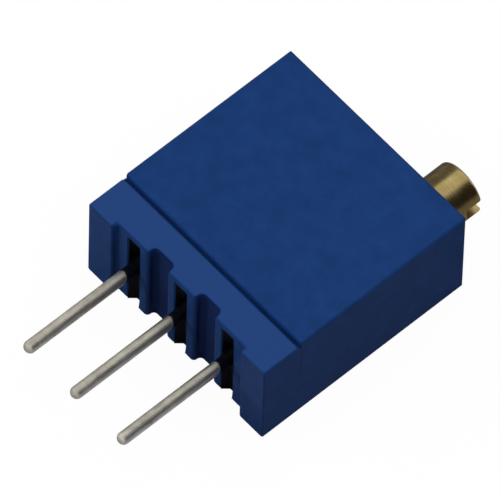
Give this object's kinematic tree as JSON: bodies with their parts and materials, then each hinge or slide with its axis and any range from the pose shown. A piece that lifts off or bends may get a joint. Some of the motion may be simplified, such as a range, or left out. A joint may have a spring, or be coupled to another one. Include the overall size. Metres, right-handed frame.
{
  "type": "trimmer potentiometer",
  "caption": "Small square multi-turn trimmer potentiometer with in-line pins on one side and a slotted brass adjusting screw on the other.",
  "frame": {"origin": "on the axis of the middle pin, in the plane of the two feet that stand on a circuit board", "axes": "+Z out of the raised broad face, -Y along the pins, +Y out along the adjusting screw, X across the three pins; the part lies on its back broad face"},
  "size_m": [0.0096, 0.0163, 0.0047],
  "materials": {
    "blue_plastic": "moulded blue thermoplastic, fine matte grain",
    "black_epoxy": "black potting resin, smooth",
    "tinned_wire": "dull hot-tinned round wire",
    "solder": "soft bright solder",
    "alumina": "unglazed white alumina",
    "resistive_film": "fired cermet film, dark and matte",
    "conductor_film": "fired silver film, dull",
    "rotor_plastic": "natural moulded thermoplastic",
    "contact_spring": "rolled spring alloy",
    "screw_brass": "turned brass",
    "seal_rubber": "moulded rubber ring",
    "clip_steel": "stamped spring steel"
  },
  "bodies": {
    "case": {"case_cover": "blue_plastic", "terminal_base": "blue_plastic", "left_seal": "black_epoxy", "middle_seal": "black_epoxy", "right_seal": "black_epoxy", "left_pin": "tinned_wire", "middle_pin": "tinned_wire", "right_pin": "tinned_wire", "left_solder": "solder", "middle_solder": "solder", "right_solder": "solder", "ceramic_substrate": "alumina", "resistive_track": "resistive_film", "left_conductor": "conductor_film", "middle_conductor": "conductor_film", "right_conductor": "conductor_film", "retaining_clip": "clip_steel"},
    "screw": {"adjusting_screw": "screw_brass", "screw_seal": "seal_rubber"},
    "wiper": {"rotor": "rotor_plastic", "wiper_contact": "contact_spring"}
  },
  "joints": [
    {"name": "screw_turn", "type": "hinge", "parent": "case", "child": "screw", "pos_m": [0.00291, 0.0057, 0.00051], "axis": [0, 1, 0], "range_deg": [-4500, 4500]},
    {"name": "wiper_turn", "type": "hinge", "parent": "case", "child": "wiper", "pos_m": [-0.00068, 0.0057, 0.00051], "axis": [0, 0, 1], "range_deg": [-150, 150]}
  ],
  "couplings": [
    {"joint": "wiper_turn", "follows": "screw_turn", "ratio": -0.033333}
  ]
}
